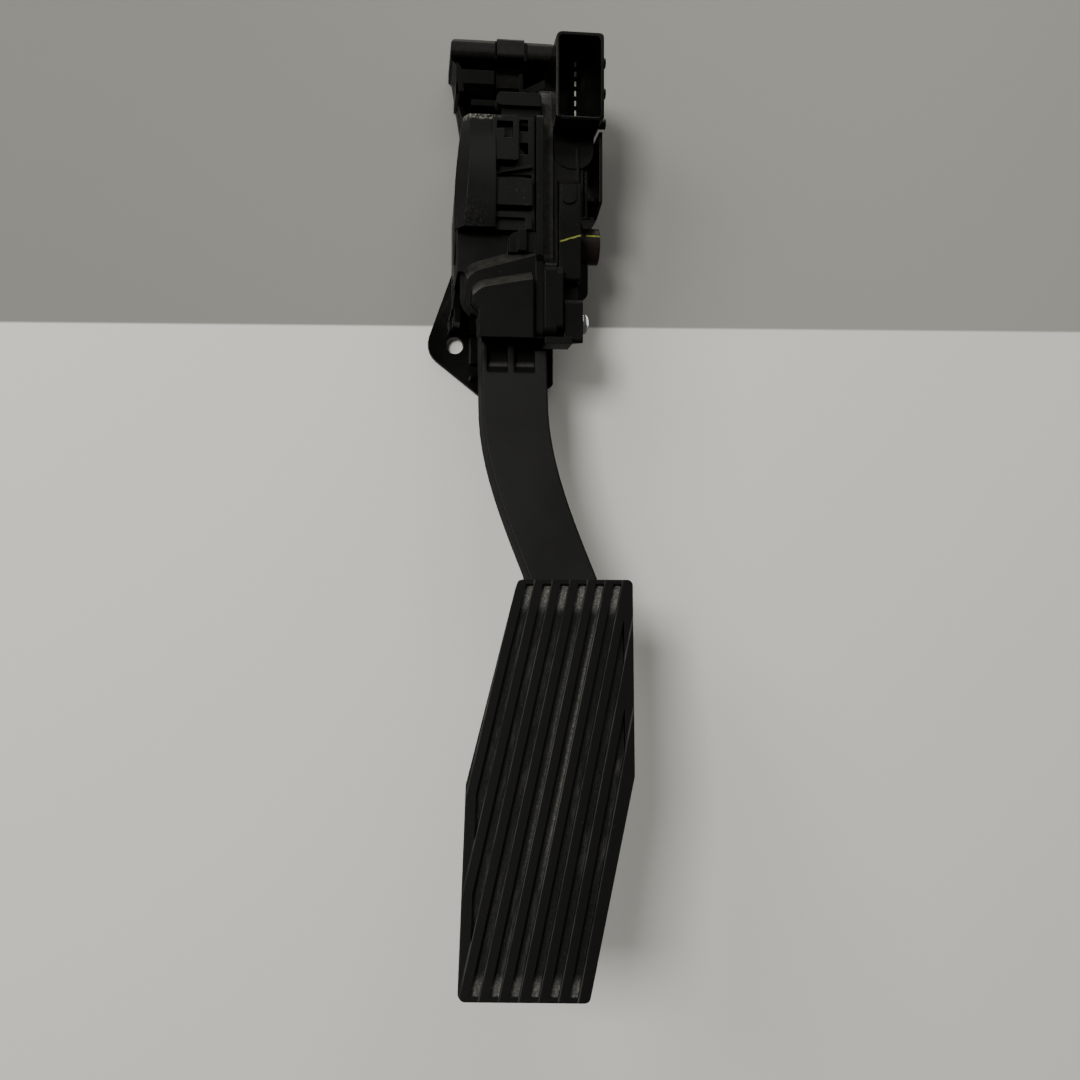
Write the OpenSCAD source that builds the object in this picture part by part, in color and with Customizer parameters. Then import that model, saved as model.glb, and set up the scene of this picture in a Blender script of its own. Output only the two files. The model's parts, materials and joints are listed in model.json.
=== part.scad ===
// Suspended accelerator pedal of a car: a moulded housing with a hooked top rail, a position
// sensor on its right side, a sprung arm and a ribbed tread.
// X runs across the car to the right, Z is up, and the driver sits on the -Y side.
// The origin is on the flat back of the housing, level with the pivot.
// A depth is measured from that back face towards the driver.

/* [Pivot] */
// Depth of the pivot axis in front of the mounting face
pivot_depth = 32; // [31:0.5:33]
// Radius of the steel pivot shaft
shaft_r = 4; // [3:0.1:4.4]
// Wall of the plain bushes
bush_wall = 1.5; // [1:0.1:2]
// Radius of the hub of the arm
hub_r = 13.5; // [11:0.5:14]
// Travel of the arm, in degrees
travel = 15; // [12:0.5:15]

/* [Housing] */
// Wall of the moulded case
wall = 2.5; // [1.8:0.1:2.8]
// Thickness of the mounting plate
plate_t = 3.5; // [2.5:0.1:4.5]
// Width of the case at the pivot
case_w = 29.6; // [28:0.2:32]
// Distance of the sensor joint to the right of the centre plane
joint_x = 10.4; // [10:0.1:11.5]
// Height of the top of the case above the pivot
case_top = 46; // [45:0.5:48]
// Depth of the open front of the case
case_front = 52; // [51:0.5:53]
// Depth of the swollen lower front of the case
barrel_front = 60.5; // [59.5:0.5:62]
// Height of the lower front edge of the case below the pivot
case_drop = 39.5; // [38:0.5:41]
// Height of the lower back edge of the case below the pivot
back_drop = 29.5; // [28:0.5:33]

/* [Fixings] */
// Radius of the bolt hole in the ear
ear_hole_r = 3.3; // [2.5:0.1:4]
// Distance of the bolt hole to the left of the centre plane
ear_hole_left = 18.1; // [17.5:0.1:19]
// Distance of the bolt hole below the pivot
ear_hole_drop = 32.6; // [31:0.1:34]
// Radius of the ear round the bolt hole
ear_r = 9.3; // [8:0.1:10]
// Width of the top rail
rail_w = 39.4; // [36:0.2:42]
// Height of the top of the rail above the pivot
rail_top = 78.5; // [77:0.5:82]
// Depth of the front of the top bar
rail_front = 26; // [24:0.5:28]

/* [Spring cover] */
// Height of the lower edge of the cover above the pivot
cover_low = -1; // [-2:0.5:0]
// Height of the cover
cover_h = 39.5; // [38:0.5:41]
// Depth of the crown of the cover
cover_front = 59.5; // [58.5:0.5:61]
// Wall of the cover
cover_wall = 2; // [1.5:0.1:2.4]

/* [Sensor] */
// Thickness of the flange of the sensor cover
flange_t = 4.2; // [3:0.1:5]
// Depth of the front of the flange
flange_front = 46; // [45:0.5:48]
// Distance of the outer face of the sensor body to the right of the centre plane
sensor_right = 24.6; // [24:0.1:25.4]
// Depth of the front of the sensor body
sensor_front = 50; // [49:0.5:51.5]
// Width of the connector
connector_w = 16.9; // [16:0.1:18]
// Height of the connector
connector_h = 30.5; // [29.5:0.5:32]
// Wall of the connector
connector_wall = 1.1; // [0.9:0.1:1.5]
// Depth of the mouth of the connector
connector_mouth = 58; // [56:0.5:60]
// Height of the middle of the connector above the pivot
connector_z = 52.4; // [51.5:0.1:53.5]
// Length of the socket of the connector
socket_depth = 22; // [18:0.5:24]
// Radius of the cap over the end of the pivot
cap_r = 6.6; // [5.5:0.1:7]
// Distance of the outer end of the cap to the right of the centre plane
cap_end = 33.6; // [33:0.1:36]

/* [Arm] */
// Width of the arm below the housing
arm_w = 23; // [21:0.1:24]
// Depth of the front of the arm where it leaves the housing
arm_front_top = 50; // [49:0.5:51]
// Thickness of the arm from front to back
arm_t = 22; // [18:0.5:23]
// Sideways sweep of the arm down to the tread
arm_sweep = 15.2; // [12:0.2:17]
// Moulded wall of the arm
arm_wall = 2.6; // [2:0.1:3.2]
// Width of the lever above the hub
lever_w = 15; // [13:0.5:16]
// Height of the lever above the pivot
lever_h = 32; // [30:0.5:34]

/* [Tread] */
// Length of the tread along its slope
pad_len = 128.6; // [120:0.2:134]
// Width of the tread
pad_w = 52.6; // [50:0.2:56]
// Width of the upper and lower edges of the tread
pad_edge_w = 38.4; // [36:0.2:40]
// Length of the slanted upper left edge, and of the lower right one
pad_slant_len = 66; // [60:0.5:72]
// Thickness of the tread
pad_t = 8; // [7:0.2:9]
// Angle of the tread from upright, in degrees
pad_tilt = 19; // [17:0.5:21]
// Lean of the tread in its own plane, in degrees
pad_lean = 3.3; // [2:0.1:4]
// Height of the upper left corner of the tread below the pivot
pad_drop = 122; // [119:0.5:125]
// Depth of the upper left corner of the tread
pad_top_front = 75; // [73.5:0.5:77]
// Spacing of the grooves, square to them
groove_pitch = 5.73; // [5.4:0.01:6]
// Width of a groove
groove_w = 2.75; // [2:0.05:3.2]
// Depth of a groove
groove_depth = 2.4; // [1.5:0.1:3]
// Angle of the grooves to the long axis of the tread, in degrees
groove_angle = 11.3; // [9:0.1:13]

/* [Springs] */
// Height of the spring axis above the pivot
spring_z = 22; // [21:0.5:23]
// Radius of the outer spring to the middle of its wire
outer_coil_r = 7; // [6.4:0.1:7.4]
// Radius of the wire of the outer spring
outer_wire_r = 0.9; // [0.6:0.05:1]
// Radius of the inner spring to the middle of its wire
inner_coil_r = 4.6; // [4.2:0.1:4.8]
// Radius of the wire of the inner spring
inner_wire_r = 0.6; // [0.4:0.05:0.8]

/* [Hidden] */
$fn = 48;

// One overrun for every cut
over = 1;
// Flats on a rounded corner of an outline
corner_steps = 5;

// Fits
running_gap = 0.05;
seat_gap = 0.3;
end_play = 0.25;

// Case, across the car
case_left = joint_x - case_w;
inner_left = case_left + wall;
inner_right = joint_x - wall;
case_lean = 2.6;
lean_from = hub_r + over;
lower_w = 22.8;
narrow_left = joint_x - lower_w;
side_low = -27;
side_front_low = -15;
side_r = 6;
bridge_front = 50;
cover_high = cover_low + cover_h;
top_slope_len = 20;
void_past = 20;
void_drop = case_drop + void_past;

// Domed lower front: an outer step, a face on it and a skirt below them
dome_front = 55;
dome_top = -2.6;
dome_fall = 8.4;
dome_low = -31.4;
dome_in = 1;
dome_r = 7.6;
dome_slope = 6;
dome_side_slope = 1.2;
face_left_in = 3.8;
face_left = case_left + face_left_in;
face_right_in = 4;
face_right = joint_x - face_right_in;
face_top = -14.2;
face_fall = 4;
face_r = 6;
face_slope = 5;
face_side_slope = 1;
skirt_wall = 1.6;
void_share = 0.7;

// Bridge between the dome and the spring cover
bridge_shares = [0.6, 0.7, 0.8];
bridge_step = 4;
bridge_r = 3;
bridge_rib_front = 57;

// Right column of the case and its lower side panel
column_front = 57;
column_r = 2;
panel_front = 56;
panel_top = -12;

// Header over the spring cover
header_left_share = 0.46;
header_front = 51;
header_t = 7;
header_drop = 2.2;
header_z = case_top - header_drop;
header_h = 4.7;
header_step = 2.4;
header_r = 2.2;

// Mounting plate
plate_drop = 52.5;
plate_right = 20.8;
plate_foot_w = 24;
plate_r = 2;
bolt_head_r = 5;
gusset_t = 1.6;
gusset_h = 6;
web_front = 22;
pad_front = 6;
ear_pad_shares = [[-0.56, 1.36], [0.05, 0.65], [0.63, 0.44], [0.63, -0.8], [1.1, -0.8]];
shelf_out = 1.4;
shelf_front = 9;
shelf_z = -22.3;
shelf_h = 6.8;

// Top rail
rail_bar_h = 7;
rail_nose_r = 2.6;
rail_edge_r = 3;
rail_web_t = 4;
rail_panel_front = 22;
rail_panel_h = 8.3;
rail_panel_chamfer = 3;
rail_gap = 3.2;
rail_end_t = 2;
rail_foot_front = 10;
rail_past = 1.3;
rail_left = case_left - rail_past;
rail_right = rail_left + rail_w;
bar_low = rail_top - rail_bar_h;
panel_high = bar_low - rail_gap;
panel_low = panel_high - rail_panel_h;
rail_side_shares = [[0, 1], [0.053, 0.865], [0.08, 0.54], [0.132, 0.29], [0.132, 0]];
section_shares = [[0, 0.42], [0.437, 0.695], [0.728, 1]];
middle_proud = 1;
middle_front = rail_front + middle_proud;
block_in = 3;
block_front = rail_panel_front - block_in;
brace_t = 2.6;
post_w = 1.4;
post_h = 7.6;
pip_r = 1.1;
ledge_t = 2.4;
ledge_rise = 9.5;
ledge_z = case_top + ledge_rise;
ledge_shares = [0.2, 0.47];

// Stops
stop_r = 5;
idle_boss_len = 8;
idle_z = 25;
full_stop_z = -38;
full_stop_t = 4.6;

// Bushes
bush_r = shaft_r + bush_wall;
bush_flange_t = 0.8;
bush_flange_w = 2;
bush_flange_r = bush_r + bush_flange_w;
boss_wall = 2.6;
boss_r = bush_r + boss_wall;
boss_len = 0.5;

// Hub and lever
hub_left = inner_left + bush_flange_t + end_play;
hub_right = inner_right - bush_flange_t - end_play;
lever_x = (inner_left + inner_right) / 2 + 0.3 * shaft_r;
lever_behind = 13;
lever_back = pivot_depth - lever_behind;
lever_t = 6.5;
lever_front = lever_back + lever_t;
lever_r = 2;
neck_right_in = 6.5;
neck_right = hub_right - neck_right_in;

// Arm
arm_below = 2.5;
arm_top = -case_drop - arm_below;
arm_bend = -62;
arm_x_top = 0.8;
arm_slope = (pad_top_front - pad_t - arm_front_top) / (pad_drop + arm_top);
arm_steps = 14;
arm_tail_share = 0.56;
arm_tail_w = 15;
arm_tail_t = 4;
arm_tail_out = 5;
arm_tail_from = 16;
arm_rib_t = 1.8;
arm_rib_shares = [0.12, 0.3, 0.48, 0.66, 0.84];

// Two scoops in the front of the arm, and the collar that carries them up into the case
scoop_w = 7.2;
scoop_h = 15;
scoop_depth = 8;
scoop_steps = 6;
scoop_low = -50.4;
scoop_rib_w = 2.4;
collar_top = -30.5;
collar_low = -36.2;
collar_t = 13;
collar_back_in = 2;

// Tread
pad_x = -0.4;
pad_rise = 1.9;
pad_r = 1.8;
pad_skirt = 2.4;
pad_floor_t = 4.2;
groove_side_in = 3;
groove_end_in = 1.5;
groove_first = 4.1;
groove_count = 8;
pad_cut_share = 1.15;

// Springs and their seats
seat_t = 1.6;
seat_rim = 0.6;
seat_r = outer_coil_r + outer_wire_r + seat_rim;
lever_foot = spring_z - seat_r - 2 * over;
seat_pin_r = inner_coil_r - inner_wire_r - seat_gap;
seat_pin_h = 3;
spring_back = lever_front + seat_t;
spring_end_in = 1;
spring_end = case_front - spring_end_in;
coil_steps = 14;
wire_sides = 8;
outer_turns = 6;
inner_turns = 7;

// Spring cover
cover_proud = 1.2;
cover_bow = 3.4;
cover_bow_z = 6;
cover_bevel = 4.2;
cover_steps = 7;
cover_right = inner_right - seat_gap;
cover_face_right = mix(case_left, cover_right, 0.48);
crown_r = cover_h * 1.7;
crown = [cover_front - crown_r, mix(cover_low, cover_high, 0.42)];
tab_w = 8;
tab_right = cover_face_right + tab_w;
tab_h = 15.3;
tab_top_in = 1;
tab_top = cover_high - tab_top_in;
tab_frame = 2;
tab_front = cover_front - cover_wall * 0.75;
window_in = 0.7;
window_w = 3;
window_h = 4;
window_low = 3.9;
window_pitch = 8;
slot_h = 1;
panel_top_z = mix(cover_low, cover_high, 0.44);
panel_low_z = mix(cover_low, cover_high, 0.2);
panel_face = cover_front - 1.25 * cover_wall;

// Sensor
gasket_t = 0.6;
gasket_w = 2.2;
gasket_in = 0.5;
flange_left = joint_x + gasket_t;
flange_right = flange_left + flange_t;
flange_behind = 27;
flange_back = pivot_depth - flange_behind;
flange_top = 54;
flange_lift = 0.8;
flange_r = 7;
apron_front = panel_front;
body_proud = 1.7;
body_left = flange_right + body_proud;
body_behind = 23;
body_back = pivot_depth - body_behind;
body_mid_reach = 11.5;
body_mid_front = pivot_depth + body_mid_reach;
body_low_reach = 12;
body_low_front = pivot_depth + body_low_reach;
body_top = 31;
body_low = -39.5;
body_r = 3;
body_front_top = 17.6;
sensor_wall = 2.4;
chamber_low = -21.5;
under_lift = 1.5;
pad_relief = 0.8;
pad_relief_h = 6.6;
pad_relief_r = 2.4;
block_top = -24;
block_right = 25;
block_shell_front = 52;
block_r = 1.5;
sill_z = -17;
lip_t = 1.6;
connector_left = 14.6;
connector_behind = 5;
connector_back = pivot_depth - connector_behind;
connector_r = 2.4;
connector_x = connector_left + connector_w / 2;
connector_right = connector_left + connector_w;
connector_low = connector_z - connector_h / 2;
connector_high = connector_z + connector_h / 2;
peg_r = 1.8;
peg_len = 1.8;
peg_pitch = 10.8;
peg_count = 3;
peg_in = 8;
peg_drop = 2.6;
rib_t = 1.1;
side_rib_shares = [0.48, 0.59, 0.71];
outer_rib_x = 31.6;
outer_rib_front = 48;
outer_rib_top = 37;
outer_rib_low = 12;
rib_slope = 12;
rib_fall = 3;
neck_r = 7.2;
neck_z = 32;
neck_front = 44;
cap_boss_r = 8.6;
rib_foot_gap = 0.4;
outer_rib_foot = cap_boss_r + rib_foot_gap;
rib_back_in = 6;
rib_back = body_back + rib_back_in;
cap_boss_len = 2.4;
cap_wall = 1.6;
cap_notch_w = 3;
web_right = 29.8;
web_t = 3.6;
web_h = 20.3;
cap_start = sensor_right + cap_boss_len;

// Rotor, board and terminals
rotor_r = 7.5;
rotor_t = 3;
magnet_r = 4.4;
magnet_t = 2;
shaft_right_in = 1;
shaft_right = flange_right - shaft_right_in;
board_t = 1.4;
board_back = 16;
board_front = 3;
board_low = -19.5;
board_r = 1;
board_in = 3.2;
board_x = flange_right + board_in;
chip_w = 6;
chip_t = 1.2;
pin_count = 6;
pin_pitch = 3.5;
pin_t = 0.8;
pin_h = 1.9;
pin_reach = 11;
leg_behind = 3.6;
leg_back = pivot_depth - leg_behind;
leg_pitch = 1.25;
leg_t = 0.6;
foot_z = 25.5;
post_r = 1.5;

// Cover screws: places in depth and height
screw_r = 2;
screw_head_r = 3.8;
screw_head_h = 3.2;
screw_sink = 0.4;
screw_gap = 0.2;
dome_shares = [[0, 0], [1, 0], [1, 0.35], [0.92, 0.62], [0.74, 0.84], [0.46, 0.96], [0, 1]];
screw_drive_r = 1.7;
screw_drive_depth = 1.3;
screw_len = 9;
screw_boss_r = 4.6;
screw_low = -31.5;
screw_back_low = -25.6;
screw_high = 46;
screw_reach = 14;
screw_low_behind = 18;
screw_high_behind = 19;
screw_places = [[pivot_depth + screw_reach, screw_low],
    [pivot_depth - screw_low_behind, screw_back_low], [pivot_depth - screw_high_behind, screw_high]];
post_behind = 13;
post_ahead = 2;
post_low = -15;
post_high = 23;
board_posts = [[pivot_depth - post_behind, post_low], [pivot_depth - post_behind, post_high],
    [pivot_depth + post_ahead, post_low]];

// Places a profile drawn in depth and height across the car
module across(left, right) {
    translate([right, 0, 0]) rotate([90, 0, -90]) linear_extrude(right - left) children();
}

// Places an outline drawn in X and height from one depth to another
module forward(near, far) {
    translate([0, -near, 0]) rotate([90, 0, 0]) linear_extrude(far - near) children();
}

// Cylinder along X at a depth and height
module rod(left, right, r, at) {
    translate([left, -at[0], at[1]]) rotate([0, 90, 0]) cylinder(h = right - left, r = r);
}

// Cylinder along the depth at a place in X and height
module stud(near, far, r, at) {
    translate([at[0], -near, at[1]]) rotate([90, 0, 0]) cylinder(h = far - near, r = r);
}

// Upright bar of a given size between two corners in X, depth and height
module bar(low, high) {
    translate([low[0], -high[1], low[2]]) cube([high[0] - low[0], high[1] - low[1], high[2] - low[2]]);
}

function unit(v) = v / norm(v);
function mix(a, b, share) = a + (b - a) * share;
function before(p, i) = p[(i + len(p) - 1) % len(p)];
function after(p, i) = p[(i + 1) % len(p)];

// Points of one corner, rounded by r
function corner(a, b, c, r) =
    let (u = unit(a - b), w = unit(c - b), half = acos(u * w) / 2)
    let (reach = r / tan(half), centre = b + unit(u + w) * r / sin(half))
    let (start = b + u * reach - centre, end = b + w * reach - centre)
    let (from = atan2(start[1], start[0]), full = atan2(end[1], end[0]) - from)
    let (turn = full > 180 ? full - 360 : full < -180 ? full + 360 : full)
    r == 0 ? [b] :
    [for (i = [0:corner_steps]) let (t = from + turn * i / corner_steps) centre + r * [cos(t), sin(t)]];

// Outline with its corners rounded, each by its own radius or all by one
function rounded(p, r) =
    [for (i = [0:len(p) - 1]) each corner(before(p, i), p[i], after(p, i), is_list(r) ? r[i] : r)];

function box_points(low, high) = [low, [high[0], low[1]], high, [low[0], high[1]]];
function inward(a, b) = unit([a[1] - b[1], b[0] - a[0]]);

// Corner of an outline whose two sides have moved inwards
function inset_corner(a, b, c, first, second) =
    let (n = inward(a, b), m = inward(b, c), k = n * b + first, l = m * b + second)
    let (area = n[0] * m[1] - n[1] * m[0])
    [(k * m[1] - l * n[1]) / area, (n[0] * l - m[0] * k) / area];

// Outline whose sides have moved inwards, side i running from point i to the next
function inset(p, by) =
    [for (i = [0:len(p) - 1]) inset_corner(before(p, i), p[i], after(p, i), before(by, i), by[i])];

// Height of the sloping underside of the case at a depth
function under(d) = mix(-back_drop, -case_drop, d / barrel_front);

// Outline of the case seen from the driver, drawn in by a wall
function case_outline(in) = inset(
    [[case_left, -case_drop], [joint_x, -case_drop], [joint_x, case_top],
     [case_left + case_lean, case_top], [case_left, lean_from]],
    [in == 0 ? 0 : -void_drop, in, in, in, in]);

module case_shell() {
    intersection() {
        forward(0, case_front) polygon(case_outline(0));
        across(case_left - over, joint_x + over) polygon([
            [0, under(0)], [bridge_front, under(bridge_front)], [bridge_front, cover_low - seat_gap],
            [case_front, cover_low - seat_gap], [case_front, cover_high],
            [case_front - top_slope_len, case_top], [0, case_top]]);
    }
}

module case_void() {
    intersection() {
        forward(plate_t, case_front + over) polygon(case_outline(wall));
        across(case_left, joint_x) polygon([
            [plate_t, -void_drop], [bridge_front - wall, -void_drop], [bridge_front - wall, cover_low],
            [case_front + over, cover_low], [case_front + over, cover_high - wall],
            [case_front - top_slope_len, case_top - wall], [plate_t, case_top - wall]]);
    }
}

// The lower left of the case is open, clear of the bolt in the ear, and more so in front of the web
module corner_cut() {
    forward(-over, case_front + over) polygon(rounded(
        [[case_left - over, -void_drop], [narrow_left, -void_drop], [narrow_left, side_low],
         [case_left - over, side_low]], [0, 0, side_r, 0]));
    forward(web_front, case_front + over) polygon(
        box_points([case_left - over, -void_drop], [case_left + wall, side_front_low]));
}

dome_points = [[case_left + dome_in, dome_low], [joint_x, dome_low], [joint_x, dome_top],
    [case_left + dome_in, dome_top - dome_fall]];
face_points = [[face_left, dome_low], [face_right, dome_low], [face_right, face_top],
    [face_left, face_top - face_fall]];

// Solid between an outline and the same outline drawn in on its top and left
module sloped(near, far, p, r, top_in, left_in) {
    hull() {
        forward(near, near + seat_gap) polygon(rounded(p, [r, 0, 0, r]));
        forward(far - seat_gap, far) polygon(rounded(inset(p, [0, 0, top_in, left_in]), [r, 0, 0, r]));
    }
}

module dome() {
    sloped(bridge_front - wall, dome_front, dome_points, dome_r, dome_slope, dome_side_slope);
    sloped(dome_front - wall, barrel_front, face_points, face_r, face_slope, face_side_slope);
    skirt(narrow_left, joint_x, bridge_front - wall, dome_front);
    skirt(narrow_left, face_right, bridge_front, barrel_front);
}

// Part of the front wall under the dome
module skirt(left, right, near, far) {
    across(left, right) polygon(
        [[near, under(near)], [far, under(far)], [far, dome_low + 2 * over], [near, dome_low + 2 * over]]);
}

module dome_void() {
    forward(bridge_front - wall - over, dome_front - wall) polygon(
        inset(dome_points, [0, wall, wall + dome_slope * void_share, wall + dome_side_slope]));
    forward(dome_front - wall - over, barrel_front - wall) polygon(
        inset(face_points, [0, wall, wall + face_slope * void_share, wall + face_side_slope]));
    bar([narrow_left + skirt_wall, bridge_front - wall - over, -void_drop],
        [inner_right, dome_front - wall, dome_low + over]);
    bar([narrow_left + skirt_wall, dome_front - wall - over, -void_drop],
        [face_right - wall, barrel_front - wall, dome_low + over]);
}

// Raised part between the dome and the spring cover, round at its left, with an upright rib
module bridge() {
    left = mix(case_left, joint_x, bridge_shares[0]);
    forward(bridge_front - over, bridge_front + bridge_step) polygon(rounded(
        [[left, dome_top - dome_slope], [inner_right, dome_top - dome_slope], [inner_right, cover_low - seat_gap],
         [left, cover_low - seat_gap]], [0, 0, 0, bridge_r]));
    bar([mix(case_left, joint_x, bridge_shares[1]), bridge_front - over, dome_top - dome_slope],
        [mix(case_left, joint_x, bridge_shares[2]), bridge_rib_front, cover_low - seat_gap]);
}

// Bar over the spring cover on a set back foot, to the right of the cover's crown
module header() {
    left = mix(case_left, joint_x, header_left_share);
    forward(header_front - header_t, header_front - header_step) polygon(
        box_points([left + header_r, cover_high - over], [joint_x, header_z + over]));
    forward(header_front - header_t, header_front) polygon(rounded(
        box_points([left, header_z], [joint_x, header_z + header_h]), [header_r, 0, header_r, header_r]));
}

module mounting_plate() {
    ear = [-ear_hole_left, -ear_hole_drop];
    difference() {
        union() {
            forward(0, plate_t) polygon(rounded(
                [[case_left + wall / 2, cover_low], ear + [-ear_r * 1.3, -ear_r * 0.25],
                 [-plate_foot_w / 3, -plate_drop], [plate_foot_w / 2, -plate_drop],
                 [plate_right, -plate_drop + ear_r / 2], [plate_right, -ear_hole_drop + ear_r / 2],
                 [joint_x, -ear_hole_drop + 2 * ear_r], [joint_x, case_top], [case_left + case_lean, case_top]],
                [0, ear_r * 0.9, plate_r, plate_r, plate_r, plate_r, 0, 0, 0]));
            gusset(ear);
        }
        stud(-over, plate_t + over, ear_hole_r, ear);
        stud(plate_t, shelf_front + over, bolt_head_r, ear);
    }
}

// Raised pad over the bolt with a shelf on it, and webs from the plate to the case
module gusset(ear) {
    top = [case_left + wall / 2, cover_low];
    forward(plate_t - over, pad_front) polygon(concat(
        [top + [gusset_t, -gusset_h]], [for (share = ear_pad_shares) ear + ear_r * share],
        [[narrow_left + gusset_h, shelf_z]]));
    bar([case_left - shelf_out, plate_t - over, shelf_z - shelf_h], [narrow_left + gusset_h, shelf_front, shelf_z]);
    forward(plate_t - over, web_front) polygon(
        [top - [0, gusset_h], [case_left - gusset_t / 2, shelf_z], [case_left + gusset_t, shelf_z],
         top + [gusset_t, -gusset_h]]);
    forward(plate_t - over, plate_t + gusset_h / 2) polygon(
        [[narrow_left, -plate_drop + gusset_h], [narrow_left + gusset_h, -plate_drop + 1.6 * gusset_h],
         [narrow_left + gusset_h, -plate_drop + 1.6 * gusset_h + gusset_t],
         [narrow_left, -plate_drop + gusset_h + gusset_t]]);
}

// Rail over the case: a back web, a bar in three round nosed sections, and what hangs below it
module top_rail() {
    forward(0, rail_web_t) polygon(rounded(
        [[rail_left + rail_w * rail_side_shares[3][0], case_top - over],
         [rail_right - rail_edge_r, case_top - over], [rail_right, rail_top], [rail_left, rail_top]],
        [0, 0, rail_edge_r, rail_edge_r]));
    intersection() {
        rail_bar();
        forward(0, middle_front) polygon(rounded(
            box_points([rail_left, bar_low], [rail_right, rail_top]), [0, 0, rail_edge_r, rail_edge_r]));
    }
    rail_end();
    rail_panel();
    rail_block();
    rail_brace();
    bar([mix(rail_left, rail_right, ledge_shares[0]), 0, ledge_z],
        [mix(rail_left, rail_right, ledge_shares[1]), rail_panel_front - rail_end_t, ledge_z + ledge_t]);
}

module rail_bar() {
    across(rail_left, rail_right) polygon(box_points([0, bar_low], [rail_front - rail_end_t, rail_top]));
    for (i = [0:len(section_shares) - 1]) {
        front = i == 1 ? middle_front : rail_front;
        nose = i == 1 ? rail_nose_r / 2 : rail_nose_r;
        across(mix(rail_left, rail_right, section_shares[i][0]), mix(rail_left, rail_right, section_shares[i][1]))
            polygon(rounded(box_points([0, bar_low], [front, rail_top]), [0, nose, nose, 0]));
    }
}

// Left end plate, whose edge steps in down to the case
module rail_end() {
    edge = [for (share = rail_side_shares)
        [rail_left + rail_w * share[0], mix(case_top - over, bar_low + over, share[1])]];
    inner = [for (at = edge) at + [rail_end_t, 0]];
    forward(0, rail_panel_front) polygon([edge[0], edge[1], edge[2], inner[2], inner[1], inner[0]]);
    forward(0, rail_foot_front) polygon(
        [edge[1], edge[2], edge[3], edge[4], inner[4], inner[3], inner[2], inner[1]]);
}

// Hollow panel under the left section, chamfered below
module rail_panel() {
    left = rail_left + rail_w * rail_side_shares[1][0];
    right = mix(rail_left, rail_right, section_shares[0][1]);
    difference() {
        across(left, right) polygon([
            [0, panel_low], [rail_panel_front - rail_panel_chamfer, panel_low],
            [rail_panel_front, panel_low + rail_panel_chamfer], [rail_panel_front, panel_high], [0, panel_high]]);
        bar([left + rail_end_t, rail_web_t, panel_low - over],
            [right - rail_end_t, rail_panel_front - rail_panel_chamfer - rail_end_t, panel_high - rail_end_t]);
    }
}

// Middle of the rail: a recessed face, a shelf below it and an upright post
module rail_block() {
    left = mix(rail_left, rail_right, section_shares[1][0]);
    right = mix(rail_left, rail_right, section_shares[1][1]);
    bar([left, 0, panel_low], [right, block_front, bar_low + over]);
    across(left, right - post_w) polygon([
        [0, panel_low + rail_end_t], [rail_panel_front - rail_end_t, panel_low],
        [rail_panel_front, panel_low + rail_end_t], [block_front, panel_low + rail_panel_chamfer * 1.6],
        [0, panel_low + rail_panel_chamfer * 1.6]]);
    bar([right - post_w, 0, panel_low], [right, rail_panel_front, panel_low + post_h - post_w / 2]);
    stud(0, rail_panel_front, post_w / 2, [right - post_w / 2, panel_low + post_h - post_w / 2]);
}

// Brace from the foot of the block up to the right end of the bar, and a small pip in the corner
module rail_brace() {
    low = mix(rail_left, rail_right, section_shares[1][1]);
    across(rail_right - rail_end_t, rail_right) polygon([
        [0, panel_low], [rail_web_t, panel_low], [block_front, panel_high], [block_front, bar_low + over],
        [0, bar_low + over]]);
    forward(0, block_front) polygon(
        [[low, panel_low], [low + brace_t, panel_low], [rail_right - rail_end_t / 2, panel_high - brace_t],
         [rail_right - rail_end_t / 2, panel_high], [low, panel_low + brace_t]]);
    stud(0, rail_panel_front, pip_r, [rail_right - rail_end_t, bar_low - pip_r]);
}

// Right wall: a column beside the spring cover and a panel beside the domed front
module right_wall() {
    across(inner_right, joint_x) polygon(rounded(
        [[0, under(0)], [panel_front, under(panel_front)], [panel_front, panel_top],
         [column_front, panel_top + column_r], [column_front, cover_high],
         [case_front - top_slope_len, case_top], [0, case_top]],
        [0, column_r, 0, 0, column_r, 0, 0]));
}

module housing() {
    color("#1d1d1f")
    difference() {
        union() {
            difference() {
                union() {
                    difference() {
                        case_shell();
                        corner_cut();
                    }
                    right_wall();
                    dome();
                }
                difference() {
                    case_void();
                    header();
                }
                dome_void();
            }
            bridge();
            header();
            mounting_plate();
            top_rail();
            rod(case_left - boss_len, inner_left, boss_r, [pivot_depth, 0]);
            stud(0, idle_boss_len, stop_r, [lever_x, idle_z]);
            stud(0, full_stop_front - full_stop_t, stop_r, [arm_x_top, full_stop_z]);
            for (at = screw_places)
                rod(joint_x - screw_len, joint_x, screw_boss_r - wall / 2, at);
        }
        rod(inner_left - wall, joint_x + over, bush_r, [pivot_depth, 0]);
        for (at = screw_places)
            rod(joint_x - screw_len + wall, joint_x + over, screw_r, at);
    }
}

// Left edge of the cover at a height, bowed outwards
function cover_left(z) = case_left - cover_proud
    + cover_bow * pow(max(0, z - cover_bow_z) / (cover_high - cover_bow_z), 2);
function cover_side(in) = [for (i = [cover_steps:-1:0])
    let (z = mix(cover_low, cover_high, i / cover_steps)) [cover_left(z) + in, z]];
function cover_face(in) = concat([[cover_face_right, cover_low], [cover_face_right, cover_high]], cover_side(in));

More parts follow.
